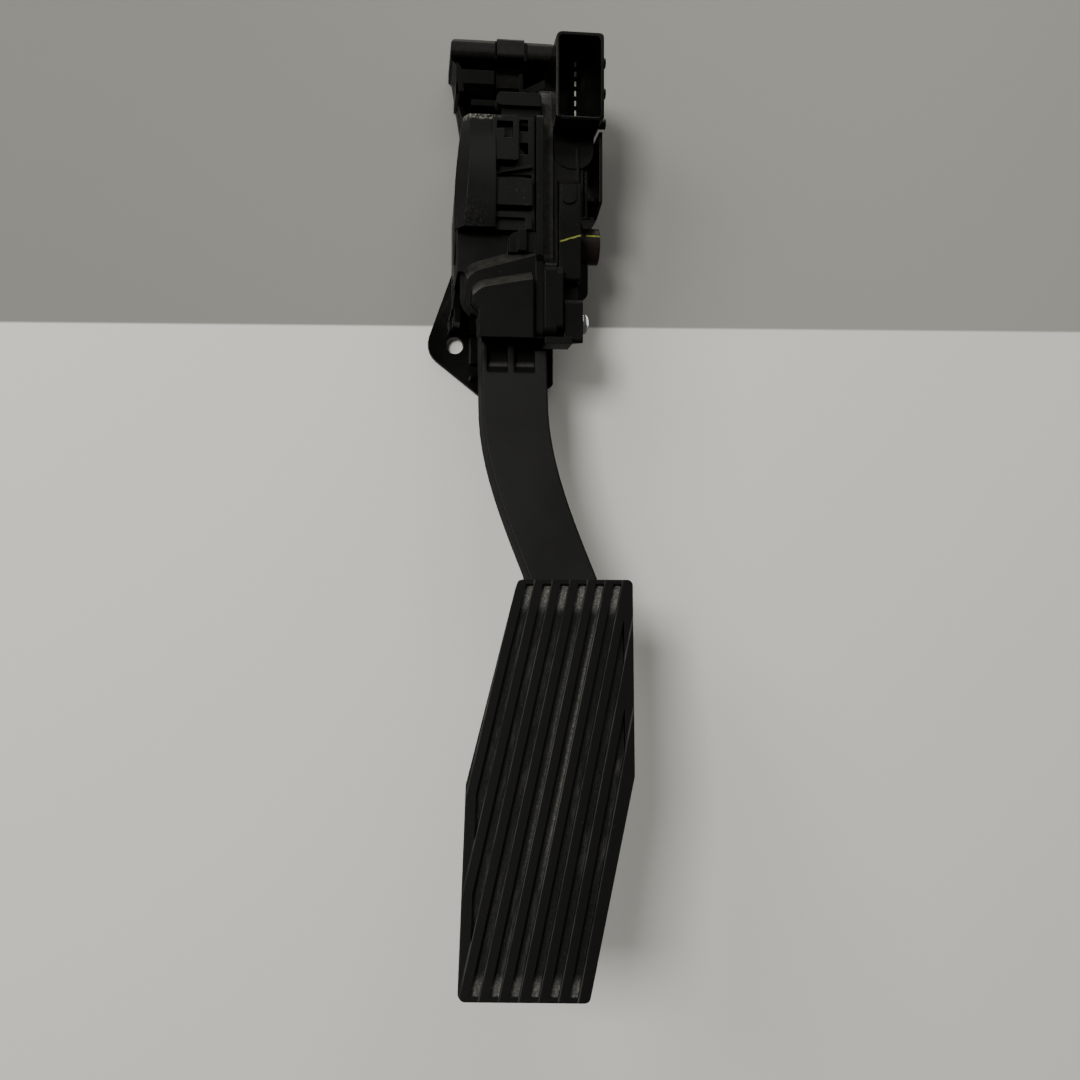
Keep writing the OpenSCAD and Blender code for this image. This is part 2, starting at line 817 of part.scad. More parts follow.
// Crowned cover over the springs, with a slotted tab and a panel beside its main face
module spring_cover() {
    color("#202022")
    difference() {
        union() {
            intersection() {
                hull() {
                    forward(case_front, case_front + seat_gap) polygon(cover_face(0));
                    forward(cover_front - seat_gap, cover_front) polygon(cover_face(cover_bevel));
                }
                rod(case_left - cover_bow, cover_right + over, crown_r, crown);
            }
            cover_plate();
            cover_tab();
            cover_panel();
            stud(spring_end, case_front + over, seat_r, [lever_x, spring_z]);
        }
        intersection() {
            forward(case_front - over, cover_front) polygon(inset(
                [[case_left + cover_bow, cover_low], [cover_face_right, cover_low],
                 [cover_face_right, cover_high], [case_left + cover_bow + cover_bevel / 2, cover_high]],
                [cover_wall, cover_wall, cover_wall, cover_wall]));
            rod(case_left - over, cover_right + over, crown_r - cover_wall, crown);
            difference() {
                bar([case_left, case_front - over, cover_low], [cover_right, cover_front, cover_high]);
                stud(spring_end - over, case_front + cover_wall, seat_r, [lever_x, spring_z]);
            }
        }
        stud(spring_end - over, case_front, seat_pin_r, [lever_x, spring_z]);
    }
}

// Recessed plate to the right of the face, with its windows and slots
module cover_plate() {
    difference() {
        bar([cover_face_right - over, case_front, cover_low], [cover_right, case_front + cover_wall, cover_high]);
        for (low = [tab_top - window_low, tab_top - window_low - window_pitch])
            bar([tab_right + window_in, case_front - over, low],
                [tab_right + window_in + window_w, cover_front, low + window_h]);
        for (low = [tab_top - tab_h - slot_h, panel_top_z + slot_h, panel_low_z - slot_h])
            bar([cover_face_right + slot_h, case_front - over, low],
                [low > panel_top_z + 2 * slot_h ? tab_right - slot_h : cover_right - slot_h, cover_front, low + slot_h]);
    }
}

// Tab on the right of the cover's face, with an L shaped window
module cover_tab() {
    left = cover_face_right + tab_frame / 4;
    right = tab_right - tab_frame;
    difference() {
        forward(case_front, tab_front) polygon(rounded(
            box_points([cover_face_right - over, tab_top - tab_h], [tab_right, tab_top]), [0, tab_frame / 2, tab_frame / 2, 0]));
        forward(case_front + cover_wall / 2, cover_front + over) polygon(
            [[left + tab_h / 6, tab_top - tab_h / 2], [right, tab_top - tab_h / 2], [right, tab_top - tab_frame],
             [left, tab_top - tab_frame], [left, tab_top - tab_frame - tab_h / 6],
             [left + tab_h / 6, tab_top - tab_frame - tab_h / 6]]);
    }
}

// Panel below the tab, a slanting rib above it and a curved one below it
module cover_panel() {
    right = cover_right - rib_t;
    forward(case_front, panel_face) polygon(rounded(
        box_points([cover_face_right - over, panel_low_z], [right, panel_top_z]),
        [0, tab_frame / 3, tab_frame / 3, 0]));
    forward(case_front, panel_face - rib_t) polygon(
        [[cover_face_right + cover_wall, panel_top_z + cover_wall], [right, panel_top_z + 2 * cover_wall],
         [right, panel_top_z + 2 * cover_wall + rib_t],
         [cover_face_right + cover_wall, panel_top_z + cover_wall + rib_t / 2]]);
    forward(case_front, panel_face - rib_t) polygon(rounded(
        [[cover_face_right, panel_low_z - 2 * cover_wall], [right - 2 * rib_t, panel_low_z - 2 * cover_wall],
         [right - 2 * rib_t, cover_low], [right, cover_low], [right, panel_low_z - cover_wall],
         [cover_face_right, panel_low_z - cover_wall]],
        [0, rib_t, 0, 0, 3 * rib_t, 0]));
}

flange_points = [
    [flange_back, under(flange_back) + flange_lift], [apron_front, under(apron_front) + flange_lift],
    [apron_front, panel_top],
    [flange_front, panel_top + gasket_w], [flange_front, flange_top], [flange_back, flange_top]];
flange_radii = [flange_r, gasket_w * 1.2, gasket_w * 1.6, gasket_w * 1.6, flange_r, flange_r];
function flange_profile(in) = rounded(inset(flange_points, [for (p = flange_points) in]),
    [for (i = [0:len(flange_points) - 1]) i == 3 ? flange_radii[i] + in : flange_radii[i] - in]);

// Seal between the case and the sensor, a little inside their edges
module cover_gasket() {
    color("#2f2f31")
    difference() {
        across(joint_x, flange_left) polygon(flange_profile(gasket_in));
        across(joint_x - over, flange_left + over) polygon(flange_profile(gasket_w));
    }
}

module sensor_cover() {
    color("#252527")
    difference() {
        union() {
            difference() {
                union() {
                    across(flange_left, flange_right) polygon(flange_profile(0));
                    sensor_body();
                    connector_shell();
                    side_ribs();
                    for (at = screw_places)
                        rod(flange_left, at[0] > pivot_depth ? block_right : body_left, screw_boss_r, at);
                }
                sensor_void();
                connector_socket();
            }
            for (at = board_posts)
                rod(board_x + board_t, sensor_right - over, post_r, at);
        }
        for (i = [0:pin_count - 1]) terminal(i);
        rod(sensor_right - sensor_wall - over, cap_end, cap_r - cap_wall, [pivot_depth, 0]);
        for (at = screw_places) {
            seat = (at[0] > pivot_depth ? block_right : body_left) - screw_sink;
            rod(flange_left - over, cap_end, screw_r + screw_gap, at);
            rod(seat, cap_end, screw_head_r + seat_gap, at);
        }
    }
}

// Raised body of the sensor, its lower block and the boss of the cap, cut off along the underside
module sensor_body() {
    difference() {
        union() {
            across(flange_right - over, body_left + over) polygon(rounded(
                [[body_back, body_low + over], [body_mid_front, body_low + over], [body_mid_front, body_top],
                 [body_back, body_top]], body_r));
            across(body_left, sensor_right) polygon(rounded(
                [[body_back, body_low + over], [body_low_front, body_low + over], [body_low_front, sill_z],
                 [sensor_front, sill_z], [sensor_front, body_front_top],
                 [body_mid_front, body_front_top + body_r], [body_mid_front, body_top], [body_back, body_top]],
                [body_r, 0, 0, body_r / 3, body_r / 3, 0, body_r, body_r]));
            across(body_left + block_r, block_right) polygon(rounded(
                box_points([pivot_depth, body_low], [block_shell_front, block_top]), [0, block_r, block_r, 0]));
        }
        across(flange_left, cap_end) polygon(
            [[0, -void_drop], [case_front + over, -void_drop], [case_front + over, under(case_front) - under_lift],
             [0, under(0) - under_lift]]);
    }
    forward(sensor_front - over, sensor_front + pad_relief) polygon(rounded(
        box_points([body_left + pad_relief, body_front_top - pad_relief - pad_relief_h],
                   [sensor_right - 2 * pad_relief, body_front_top - pad_relief]),
        [pad_relief_r, pad_relief_r, 0, 0]));
    across(flange_left, body_left + over / 2) polygon(rounded(
        box_points([flange_front - over, under(flange_front) + flange_lift + over], [apron_front, panel_top - over]),
        [0, block_r, body_r, 0]));
    across(flange_left, block_right - flange_t) polygon(
        box_points([body_mid_front, body_low - lip_t / 2], [apron_front - over, body_low + lip_t]));
    rod(sensor_right - over, cap_start, cap_boss_r, [pivot_depth, 0]);
    forward(pivot_depth - web_t / 2, pivot_depth + web_t / 2) polygon(rounded(
        box_points([sensor_right - over, -web_h], [web_right, -cap_r - seat_gap]), [0, body_r, 0, 0]));
}

// Chamber for the board and rotor
module sensor_void() {
    across(flange_left - over, sensor_right - sensor_wall) polygon(rounded(
        box_points([body_back + sensor_wall, chamber_low], [body_mid_front - sensor_wall, body_top - sensor_wall]),
        body_r));
}

// Connector box, its three pegs and the round neck that joins it to the body
module connector_shell() {
    forward(connector_back, connector_mouth) polygon(rounded(
        box_points([connector_left, connector_low], [connector_right, connector_high]),
        [connector_r, connector_r * 0.6, connector_r * 0.6, connector_r]));
    forward(body_back, connector_back + over) polygon(rounded(
        box_points([flange_right - over, body_top - over], [connector_right - over, flange_top - over]), body_r));
    forward(body_back, neck_front) polygon(rounded(
        box_points([connector_x - neck_r, neck_z - neck_r], [connector_x + neck_r, connector_low + over]),
        [neck_r - over, neck_r - over, 0, 0]));
    for (i = [0:peg_count - 1])
        rod(connector_right - over, connector_right + peg_len, peg_r,
            [connector_mouth - peg_in, connector_z - peg_drop + (1 - i) * peg_pitch]);
}

module connector_socket() {
    forward(connector_mouth - socket_depth, connector_mouth + over) polygon(rounded(
        box_points([connector_left + connector_wall, connector_low + connector_wall],
                   [connector_right - connector_wall, connector_high - connector_wall]), connector_r * 0.6));
}

// Upright ribs and webs on the outer side below the connector
module side_ribs() {
    rib_low = neck_z - neck_r - rib_slope;
    for (share = side_rib_shares)
        across(mix(body_left, outer_rib_x, share), mix(body_left, outer_rib_x, share) + rib_t) polygon(
            [[body_back, rib_low], [sensor_front - rib_slope * share, rib_low - rib_fall / share],
             [sensor_front - rib_slope * share, neck_z], [neck_front - rib_slope, outer_rib_top],
             [body_back, outer_rib_top]]);
    across(outer_rib_x, outer_rib_x + rib_t) polygon(
        [[rib_back, outer_rib_foot], [outer_rib_front - rib_slope, outer_rib_foot],
         [outer_rib_front, outer_rib_low], [outer_rib_front, outer_rib_top], [rib_back, outer_rib_top]]);
    for (z = [outer_rib_foot, rib_low + body_r, neck_z - neck_r + rib_fall])
        bar([sensor_right - over, rib_back, z], [outer_rib_x + rib_t, outer_rib_front - rib_slope, z + rib_t]);
    bar([body_left + body_r, rib_back, outer_rib_top - rib_t],
        [outer_rib_x + rib_t, outer_rib_front - rib_slope, outer_rib_top]);
}

module shaft_cap() {
    color("#2b2522")
    difference() {
        union() {
            rod(cap_start, cap_end, cap_r, [pivot_depth, 0]);
            rod(sensor_right - sensor_wall, cap_start, cap_r - cap_wall - seat_gap / 3, [pivot_depth, 0]);
        }
        bar([cap_start + cap_wall, pivot_depth - cap_notch_w / 2, cap_r - cap_wall],
            [cap_end + over, pivot_depth + cap_notch_w / 2, cap_r + over]);
        rod(cap_end - cap_wall, cap_end + over, cap_r / 2, [pivot_depth, 0]);
    }
}

module circuit_board() {
    color("#2e5f3a")
    across(board_x, board_x + board_t) polygon(rounded(
        box_points([pivot_depth - board_back, board_low],
                   [pivot_depth + board_front, body_top - sensor_wall - over]), board_r));
}

module sensor_chip() {
    color("#161618")
    bar([board_x - chip_t, pivot_depth - chip_w / 2, -chip_w / 2], [board_x, pivot_depth + chip_w / 3, chip_w / 2]);
}

// One terminal: a blade in the socket, a leg down inside the wall and a foot on the board
module terminal(i) {
    z = connector_z + ((pin_count - 1) / 2 - i) * pin_pitch;
    left = connector_x - pin_t / 2;
    right = connector_x + pin_t / 2;
    leg = leg_back + i * leg_pitch;
    color("#c9b27a") {
        bar([left, leg, z - pin_h / 2], [right, connector_mouth - socket_depth + pin_reach, z + pin_h / 2]);
        bar([left, leg, foot_z], [right, leg + leg_t, z + pin_h / 2]);
        bar([board_x + board_t, leg, foot_z], [right, leg + leg_t, foot_z + pin_t]);
    }
}

module terminal_pin_1() { terminal(0); }
module terminal_pin_2() { terminal(1); }
module terminal_pin_3() { terminal(2); }
module terminal_pin_4() { terminal(3); }
module terminal_pin_5() { terminal(4); }
module terminal_pin_6() { terminal(5); }

// Screw with a domed head, driven from the right
module screw(at) {
    seat = (at[0] > pivot_depth ? block_right : body_left) - screw_sink;
    color("#b9bcc0")
    difference() {
        union() {
            rod(joint_x - screw_len + wall + over, seat + over / 2, screw_r, at);
            translate([seat, -at[0], at[1]]) rotate([0, 90, 0]) rotate_extrude() polygon(
                [for (p = dome_shares) [p[0] * screw_head_r, p[1] * screw_head_h]]);
        }
        translate([seat + screw_head_h - screw_drive_depth, -at[0], at[1]]) rotate([0, 90, 0])
            linear_extrude(screw_head_h) circle(r = screw_drive_r, $fn = 6);
    }
}

module cover_screw_1() { screw(screw_places[0]); }
module cover_screw_2() { screw(screw_places[1]); }
module cover_screw_3() { screw(screw_places[2]); }

// Flanged plain bush in one wall of the case
module bush(from, to, flange_from) {
    color("#8a8478")
    difference() {
        union() {
            rod(from, to, bush_r, [pivot_depth, 0]);
            rod(flange_from, flange_from + bush_flange_t, bush_flange_r, [pivot_depth, 0]);
        }
        rod(from - over, to + over, shaft_r + running_gap, [pivot_depth, 0]);
    }
}

module bush_left() { bush(inner_left - wall, inner_left + bush_flange_t, inner_left); }
module bush_right() { bush(inner_right - bush_flange_t, joint_x, inner_right - bush_flange_t); }

module idle_stop() {
    color("#2a2a2a")
    stud(idle_boss_len, lever_back - seat_gap, stop_r, [lever_x, idle_z]);
}

module full_stop() {
    color("#2a2a2a")
    difference() {
        stud(full_stop_front - full_stop_t, full_stop_front, stop_r, [arm_x_top, full_stop_z]);
        stud(full_stop_front - full_stop_t / 2, full_stop_front + over, stop_r / 2, [arm_x_top, full_stop_z]);
    }
}

// Place in depth and height of a point of the arm at the end of its travel
function turned(p) = [
    pivot_depth + (p[0] - pivot_depth) * cos(travel) + p[1] * sin(travel),
    p[1] * cos(travel) - (p[0] - pivot_depth) * sin(travel)];
full_stop_front = turned([arm_front_top - arm_t, arm_top])[0] - 2 * seat_gap;

// Height along a coil, with a closed turn at each end
function rise(turn, turns, length, wire_r) =
    let (closed = 2 * wire_r, pitch = (length - 2 * wire_r - 2 * closed) / (turns - 2))
    turn < 1 ? turn * closed :
    turn > turns - 1 ? length - 2 * wire_r - (turns - turn) * closed :
    closed + (turn - 1) * pitch;

// Coil spring along the depth, from one depth to another
module coil(near, far, coil_r, wire_r, turns) {
    rings = turns * coil_steps;
    points = [for (i = [0:rings]) let (a = 360 * i / coil_steps)
        let (along = wire_r + rise(i / coil_steps, turns, far - near, wire_r))
        for (j = [0:wire_sides - 1]) let (b = 360 * j / wire_sides)
        [(coil_r + wire_r * cos(b)) * cos(a), (coil_r + wire_r * cos(b)) * sin(a), along + wire_r * sin(b)]];
    sides = [for (i = [0:rings - 1], j = [0:wire_sides - 1]) let (k = (j + 1) % wire_sides)
        [i * wire_sides + j, i * wire_sides + k, (i + 1) * wire_sides + k, (i + 1) * wire_sides + j]];
    start = [for (j = [wire_sides - 1:-1:0]) j];
    end = [for (j = [0:wire_sides - 1]) rings * wire_sides + j];
    translate([lever_x, -near, spring_z]) rotate([90, 0, 0]) polyhedron(points, concat(sides, [start, end]));
}

module outer_spring() {
    color("#8d9094") coil(spring_back + running_gap, spring_end - running_gap, outer_coil_r, outer_wire_r, outer_turns);
}

module inner_spring() {
    color("#9a9da1") coil(spring_back + running_gap, spring_end - running_gap, inner_coil_r, inner_wire_r, inner_turns);
}

module pivot_shaft() {
    color("#a5a8ac") rod(inner_left - wall + seat_gap, shaft_right, shaft_r, [pivot_depth, 0]);
}

// Middle of the arm across the car at a height: straight, then swept to the right
function arm_x(z) =
    let (share = max(0, (arm_bend - z) / (pad_drop + arm_bend)))
    arm_x_top + arm_sweep * (share < 1 ? share * share * (3 - share) / 2 : 1 + (share - 1) * 0.4);
function arm_half(z, in) = z > -pad_drop ? arm_w / 2 - in :
    mix(arm_w, arm_tail_w, min(1, (-pad_drop - z) / (pad_len * arm_tail_share))) / 2 - in;
tail_low = -pad_drop - pad_len * arm_tail_share * cos(pad_tilt);
function front_at(z) = z > -pad_drop ? arm_front_top + (arm_top - z) * arm_slope :
    pad_top_front - pad_t / cos(pad_tilt) + pad_floor_back + (-pad_drop - z) * tan(pad_tilt);
pad_floor_back = (pad_t - pad_floor_t) / cos(pad_tilt);
neck_back_top = [pivot_depth - hub_r * 0.8, 0];
neck_back_low = [arm_front_top - arm_t, arm_top];
function arm_heights() = [for (i = [0:arm_steps]) mix(arm_top, -pad_drop, i / arm_steps)];

// Arm seen from the driver
module arm_front_outline(in) {
    heights = concat(arm_heights(), [mix(-pad_drop, tail_low, 0.5), tail_low + in]);
    polygon(concat([for (z = heights) [arm_x(z) - arm_half(z, in), z]],
        [for (i = [len(heights) - 1:-1:0]) [arm_x(heights[i]) + arm_half(heights[i], in), heights[i]]]));
}

// Arm seen from the left; it tapers behind the tread
module arm_side_outline(in, open) {
    back = pad_top_front - pad_t - over - in;
    polygon([[arm_front_top - in, arm_top + open], [back, -pad_drop - over],
        [back + arm_tail_out, -pad_drop - arm_tail_from],
        [front_at(tail_low + in) - in, tail_low + in], [front_at(tail_low) - arm_tail_t - open, tail_low + in],
        [pad_top_front - pad_t - over - arm_t - open, -pad_drop - over],
        [arm_front_top - arm_t - open, arm_top + open]]);
}

module arm_blade() {
    difference() {
        union() {
            intersection() {
                forward(0, pad_top_front * 2) arm_front_outline(0);
                across(-arm_w * 2, arm_w * 2) arm_side_outline(0, 0);
            }
            collar();
        }
        intersection() {
            forward(0, pad_top_front * 2) arm_front_outline(arm_wall);
            across(-arm_w * 2, arm_w * 2) arm_side_outline(arm_wall, over);
            arm_rib_gaps();
        }
        scoops();
    }
}

// Walls of the scoops and the rib between them, up inside the case and lower beside its screw
module collar() {
    front = front_at(arm_top);
    back = front - collar_t;
    across(arm_x_top - arm_w / 2, joint_x - screw_len - 2 * seat_gap) polygon([
        [back, arm_top - over], [front, arm_top - over], [front - seat_gap, collar_top],
        [back + collar_back_in, collar_top]]);
    across(arm_x_top, hub_right) polygon(box_points([back, arm_top - over], [front - seat_gap, collar_low]));
}

// Each scoop is a bowl that runs up and back into the arm
module scoops() {
    front = front_at(scoop_low);
    bowl = [for (i = [0:scoop_steps]) let (share = i / scoop_steps)
        [front - scoop_depth * share * (2 - share), scoop_low + scoop_h * share]];
    for (side = [-1, 1]) {
        middle = arm_x_top - scoop_rib_w / 2 + side * (scoop_w + scoop_rib_w) / 2;
        across(middle - scoop_w / 2, middle + scoop_w / 2) polygon(concat(
            [[front - scoop_depth, collar_top + over], [front + over, collar_top + over],
             [front + over, scoop_low]], bowl));
    }
}

// Everything but the cross ribs inside the arm, and the space behind the scoops
module arm_rib_gaps() {
    difference() {
        bar([-arm_w * 2, 0, tail_low], [arm_w * 2, pad_top_front * 2, scoop_low - arm_wall]);
        for (share = arm_rib_shares) {
            z = mix(scoop_low, tail_low, share);
            bar([-arm_w * 2, 0, z], [arm_w * 2, pad_top_front * 2, z + arm_rib_t]);
        }
    }
    bar([-arm_w * 2, 0, scoop_low], [arm_w * 2, arm_front_top - scoop_depth - arm_wall, arm_top + 2 * over]);
}

// Neck between the hub and the blade, and the lever above the hub
module arm_neck() {
    across(arm_x_top - arm_w / 2, neck_right) polygon(
        [neck_back_top, [pivot_depth + hub_r * 0.98, 0],
         [arm_front_top - collar_t + collar_back_in + over, collar_top - over],
         [arm_front_top - collar_t + over, arm_top], neck_back_low]);
    across(lever_x - lever_w / 2, lever_x + lever_w / 2) polygon(rounded(
        [[pivot_depth - hub_r * 0.9, 0], [pivot_depth + hub_r * 0.6, hub_r * 0.6], [lever_front, lever_foot],
         [lever_front, lever_h], [lever_back, lever_h]], [0, 0, lever_r, lever_r, lever_r]));
}

module pedal_arm() {
    color("#262628")
    difference() {
        union() {
            rod(hub_left, hub_right, hub_r, [pivot_depth, 0]);
            arm_neck();
            arm_blade();
        }
        rod(hub_left - over, hub_right + over, shaft_r, [pivot_depth, 0]);
        stud(lever_front - seat_pin_h / 2, lever_front + over, seat_pin_r / 2 + running_gap, [lever_x, spring_z]);
    }
}

// Places a drawing on the tread: X to its right, Y up its slope, Z out of its face
module on_pad() {
    translate([pad_x, -pad_top_front, -pad_drop]) rotate([90 - pad_tilt, 0, 0]) rotate([0, 0, -pad_lean]) children();
}

pad_shift = pad_w - pad_edge_w;
pad_outline = [[0, 0], [-pad_shift, -pad_slant_len], [-pad_shift, -pad_len], [pad_edge_w - pad_shift, -pad_len],
    [pad_edge_w, -pad_len + pad_slant_len], [pad_edge_w, pad_rise]];

module pad_grooves() {
    intersection() {
        translate([0, 0, -groove_depth]) linear_extrude(groove_depth + over) polygon(inset(pad_outline,
            [groove_side_in, groove_side_in, groove_end_in, groove_side_in, groove_side_in, groove_end_in]));
        union() for (i = [0:groove_count - 1])
            translate([groove_first + i * groove_pitch / cos(groove_angle), 0, -groove_depth - over])
                rotate([0, 0, -groove_angle]) translate([-groove_w / 2, -pad_len * pad_cut_share, 0])
                cube([groove_w, pad_len * (pad_cut_share + 0.1), groove_depth + 3 * over]);
    }
}

module pedal_pad() {
    color("#19191a")
    on_pad() {
        difference() {
            translate([0, 0, -pad_t]) linear_extrude(pad_t) polygon(rounded(pad_outline, pad_r));
            pad_grooves();
            translate([0, 0, -pad_t - over]) linear_extrude(pad_t - pad_floor_t + over)
                polygon(inset(pad_outline, [for (p = pad_outline) pad_skirt]));
        }
    }
}

// Seat of both springs on the lever
module spring_seat() {
    color("#3a3a3c") {
        stud(lever_front, spring_back, seat_r, [lever_x, spring_z]);
        stud(spring_back - over / 2, spring_back + seat_pin_h, seat_pin_r, [lever_x, spring_z]);
        stud(lever_front - seat_pin_h / 2, lever_front + over / 2, seat_pin_r / 2, [lever_x, spring_z]);
    }
}

module rotor_carrier() {
    color("#4b4b4d")
    difference() {
        rod(shaft_right - rotor_t, shaft_right, rotor_r, [pivot_depth, 0]);
        rod(shaft_right - rotor_t - over, shaft_right + over, shaft_r, [pivot_depth, 0]);
    }
}

module rotor_magnet() {
    color("#6b6e72") rod(shaft_right, shaft_right + magnet_t, magnet_r, [pivot_depth, 0]);
}

housing();
spring_cover();
sensor_cover();
cover_gasket();
circuit_board();
sensor_chip();
terminal_pin_1();
terminal_pin_2();
terminal_pin_3();
terminal_pin_4();
terminal_pin_5();
terminal_pin_6();
cover_screw_1();
cover_screw_2();
cover_screw_3();
shaft_cap();
bush_left();
bush_right();
idle_stop();
full_stop();
outer_spring();
inner_spring();
pivot_shaft();
pedal_arm();
pedal_pad();
spring_seat();
rotor_carrier();
rotor_magnet();
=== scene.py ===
"""Looks of the accelerator pedal: finishes, stage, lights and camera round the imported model."""
import json
import math

import bmesh
import bpy
from mathutils import Matrix, Vector

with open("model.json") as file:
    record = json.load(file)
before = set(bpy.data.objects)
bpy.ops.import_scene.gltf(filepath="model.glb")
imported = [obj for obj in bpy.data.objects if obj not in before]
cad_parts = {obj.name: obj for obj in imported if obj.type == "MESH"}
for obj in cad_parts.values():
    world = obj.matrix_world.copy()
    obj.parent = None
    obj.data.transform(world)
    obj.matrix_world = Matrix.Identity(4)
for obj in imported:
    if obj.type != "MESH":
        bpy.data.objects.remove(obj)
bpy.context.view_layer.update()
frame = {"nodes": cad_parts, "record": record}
nodes = frame["nodes"]
scene = bpy.context.scene

MM = 0.001
# Colour of dust, also used for films of painted light on some faces
DUST_AND_PAINTED_LIGHT = (0.2, 0.195, 0.175)
# Colour of grit in the grooves, also of the painted highlight along each groove's right edge
GRIT_AND_PAINTED_HIGHLIGHT = (0.21, 0.207, 0.195)
MARK_PAINT = (0.25, 0.28, 0.05)
MARK_RISE = -8.6                       # mm that the paint's line stands over the pivot at x = 0
TREAD_ORIGIN = (-0.4 * MM, -75 * MM, -122 * MM)
TREAD_TILT, TREAD_LEAN, TREAD_LENGTH = 19.0, 3.3, 128.6 * MM
GROOVE_ANGLE = 11.3
GROOVE_PITCH, GROOVE_FIRST = 5.73 * MM, 4.1 * MM * math.cos(math.radians(GROOVE_ANGLE))
FOLD_HEIGHT, FOLD_SLOPE = -24.0, 0.0147


# The camera stands where the photograph was taken from
def aim_camera():
    data = bpy.data.cameras.new("camera")
    data.sensor_width = 36.0
    data.lens = 36.1
    camera = bpy.data.objects.new("camera", data)
    camera.location = (-36.7 * MM, -430 * MM, -109 * MM)
    yaw = math.radians(7.0)
    direction = Vector((math.sin(yaw), math.cos(yaw), 0.0))
    camera.rotation_euler = direction.to_track_quat("-Z", "Y").to_euler()
    data.clip_start, data.clip_end = 0.01, 20.0
    scene.collection.objects.link(camera)
    scene.camera = camera


class Value:
    """A socket of a node tree; an expression on values adds its Math nodes."""

    def __init__(self, finish, socket):
        self.finish, self.socket = finish, socket

    def _math(self, operation, *terms, clamp=False):
        settings = {"operation": operation, "use_clamp": clamp}
        return self.finish.node("ShaderNodeMath", settings, *terms)

    def __add__(self, other):
        return self._math("ADD", self, other)

    __radd__ = __add__

    def __mul__(self, other):
        return self._math("MULTIPLY", self, other)

    __rmul__ = __mul__

    def __sub__(self, other):
        return self._math("SUBTRACT", self, other)

    def __rsub__(self, other):
        return self._math("SUBTRACT", other, self)

    def __pow__(self, other):
        return self._math("POWER", self, other)

    def clamped(self):
        return self._math("ADD", self, 0.0, clamp=True)

    def times(self, other):
        return self._math("MULTIPLY", self, other, clamp=True)

    def lowest(self, other):
        return self._math("MINIMUM", self, other)

    def highest(self, other):
        return self._math("MAXIMUM", self, other)

    def rising(self, start, end):
        """0 below start, 1 above end, smooth between them; end may be the lower one."""
        settings = {"interpolation_type": "SMOOTHSTEP", "clamp": True}
        return self.finish.node("ShaderNodeMapRange", settings, self, start, end, 0.0, 1.0)


class Finish:
    """A material with one Principled shader, built by name."""

    def __init__(self, name, colour, roughness, **fixed):
        self.material = bpy.data.materials.new(name)
        self.material.use_nodes = True
        self.tree = self.material.node_tree
        self.shader = self.tree.nodes["Principled BSDF"]
        self.set("Base Color", (*colour, 1.0))
        self.set("Roughness", roughness)
        for key, value in fixed.items():
            self.set(key.replace("_", " "), value)
        self.place = self.node("ShaderNodeTexCoord", {}, output="Object")

    def set(self, name, value):
        socket = self.shader.inputs[name]
        if isinstance(value, Value):
            self.tree.links.new(value.socket, socket)
        else:
            socket.default_value = value

    def node(self, kind, settings, *values, output=0, **named):
        made = self.tree.nodes.new(kind)
        for key, setting in settings.items():
            if key == "stops":
                ramp = made.color_ramp
                while len(ramp.elements) < len(setting):
                    ramp.elements.new(0.5)
                for element, (position, colour) in zip(ramp.elements, setting):
                    element.position, element.color = position, colour
            else:
                setattr(made, key, setting)
        free = [s for s in made.inputs if s.enabled]
        for socket, value in list(zip(free, values)) + [(made.inputs[k], v) for k, v in named.items()]:
            if isinstance(value, Value):
                self.tree.links.new(value.socket, socket)
            elif value is not None:
                socket.default_value = value
        return Value(self, made.outputs[output])

    def noise(self, per_metre, detail=2.0, rough=0.5, stretch=(1, 1, 1)):
        settings = {"vector_type": "POINT"}
        at = self.node("ShaderNodeMapping", settings, self.place, Scale=stretch)
        return self.node("ShaderNodeTexNoise", {}, Vector=at, Scale=per_metre, Detail=detail,
                         Roughness=rough)

    def axis(self, index):
        return self.node("ShaderNodeSeparateXYZ", {}, self.place, output=index)

    def facing(self, index):
        """One axis of the surface's own direction, on the object."""
        way = self.node("ShaderNodeTexCoord", {}, output="Normal")
        return self.node("ShaderNodeSeparateXYZ", {}, way, output=index)

    def mixed(self, factor, first, second):
        settings = {"data_type": "RGBA", "blend_type": "MIX"}
        made = self.tree.nodes.new("ShaderNodeMix")
        for key, setting in settings.items():
            setattr(made, key, setting)
        for index, value in ((0, factor), (6, first), (7, second)):
            if isinstance(value, Value):
                self.tree.links.new(value.socket, made.inputs[index])
            else:
                made.inputs[index].default_value = value if index == 0 else (*value[:3], 1.0)
        return Value(self, made.outputs[2])

    def surface(self, height=None, strength=0.2, distance=0.0002, edge=0.0):
        """Bump from a height, over edges rounded by a radius in metres."""
        normal = None
        if edge:
            normal = self.node("ShaderNodeBevel", {"samples": 6}, edge)
        if height is not None:
            bump = {"Strength": strength, "Distance": distance, "Height": height}
            if normal is not None:
                bump["Normal"] = normal
            normal = self.node("ShaderNodeBump", {}, **bump)
        self.set("Normal", normal)


def edge_mask(finish, radius):
    """1 along the edges of the moulding, 0 on its flat places."""
    rounded = finish.node("ShaderNodeBevel", {"samples": 6}, radius)
    plain = finish.node("ShaderNodeNewGeometry", {}, output="Normal")
    same = finish.node("ShaderNodeVectorMath", {"operation": "DOT_PRODUCT"}, rounded, plain,
                       output="Value")
    return (1 - same).rising(0.02, 0.3)


def specks(finish, amount, per_metre=1500.0):
    """Small grains of dust, gathered in loose patches."""
    grains = finish.noise(per_metre, 2.0, 0.6).rising(0.66, 0.74)
    return (grains * finish.noise(55.0, 3.0, 0.6).rising(0.5, 0.75)).times(amount)


